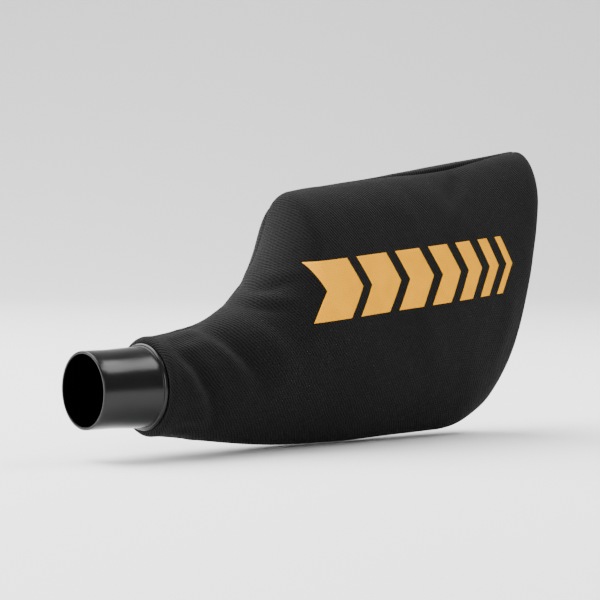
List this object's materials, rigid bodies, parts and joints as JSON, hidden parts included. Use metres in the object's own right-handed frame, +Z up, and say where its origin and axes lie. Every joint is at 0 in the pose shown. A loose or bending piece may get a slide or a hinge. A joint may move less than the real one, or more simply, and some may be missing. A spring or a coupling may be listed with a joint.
{
  "type": "planer dust bag",
  "caption": "Black twill dust bag for a hand-held planer, with a tapered plastic spout at one low corner and a zip down the rear end.",
  "frame": {"origin": "centre of the spout's mouth, on the spout's axis", "axes": "+X along the spout into the bag, +Z up, -Y faces the bag's printed side"},
  "size_m": [0.2848, 0.0662, 0.1501],
  "materials": {
    "spout": "polished",
    "clamp": "satin",
    "twill": "coarse matte twill",
    "binding": "matte",
    "thread": "matte",
    "tape": "fine matte weave",
    "teeth": "satin",
    "slider_metal": "satin black",
    "pull_metal": "satin black"
  },
  "bodies": {
    "bag": {"spout_tube": "spout", "neck_clamp_band": "clamp", "front_panel": "twill", "rear_panel": "twill", "top_seam_binding": "binding", "bottom_seam_binding": "binding", "top_seam_stitching": "thread", "bottom_seam_stitching": "thread", "zip_tape_front": "tape", "zip_tape_rear": "tape", "zip_teeth_front": "teeth", "zip_teeth_rear": "teeth", "zip_top_stops": "teeth", "zip_bottom_stop": "teeth", "zip_end_tab_top": "tape", "zip_end_tab_bottom": "tape", "end_tab_stitching": "thread", "zip_stitching_front": "thread", "zip_stitching_rear": "thread"},
    "zip_slider": {"zip_slider_body": "slider_metal"},
    "zip_pull": {"zip_pull_tab": "pull_metal"}
  },
  "joints": [
    {"name": "zip_slide", "type": "slide", "parent": "bag", "child": "zip_slider", "axis": [-0.1705, 0, -0.9854], "range_m": [0, 0.073], "deforming": ["zip_teeth_front", "zip_teeth_rear"]},
    {"name": "pull_swing", "type": "hinge", "parent": "zip_slider", "child": "zip_pull", "pos_m": [0.2797, 0, 0.07871], "axis": [0, -1, 0], "range_deg": [-7, 150]}
  ]
}
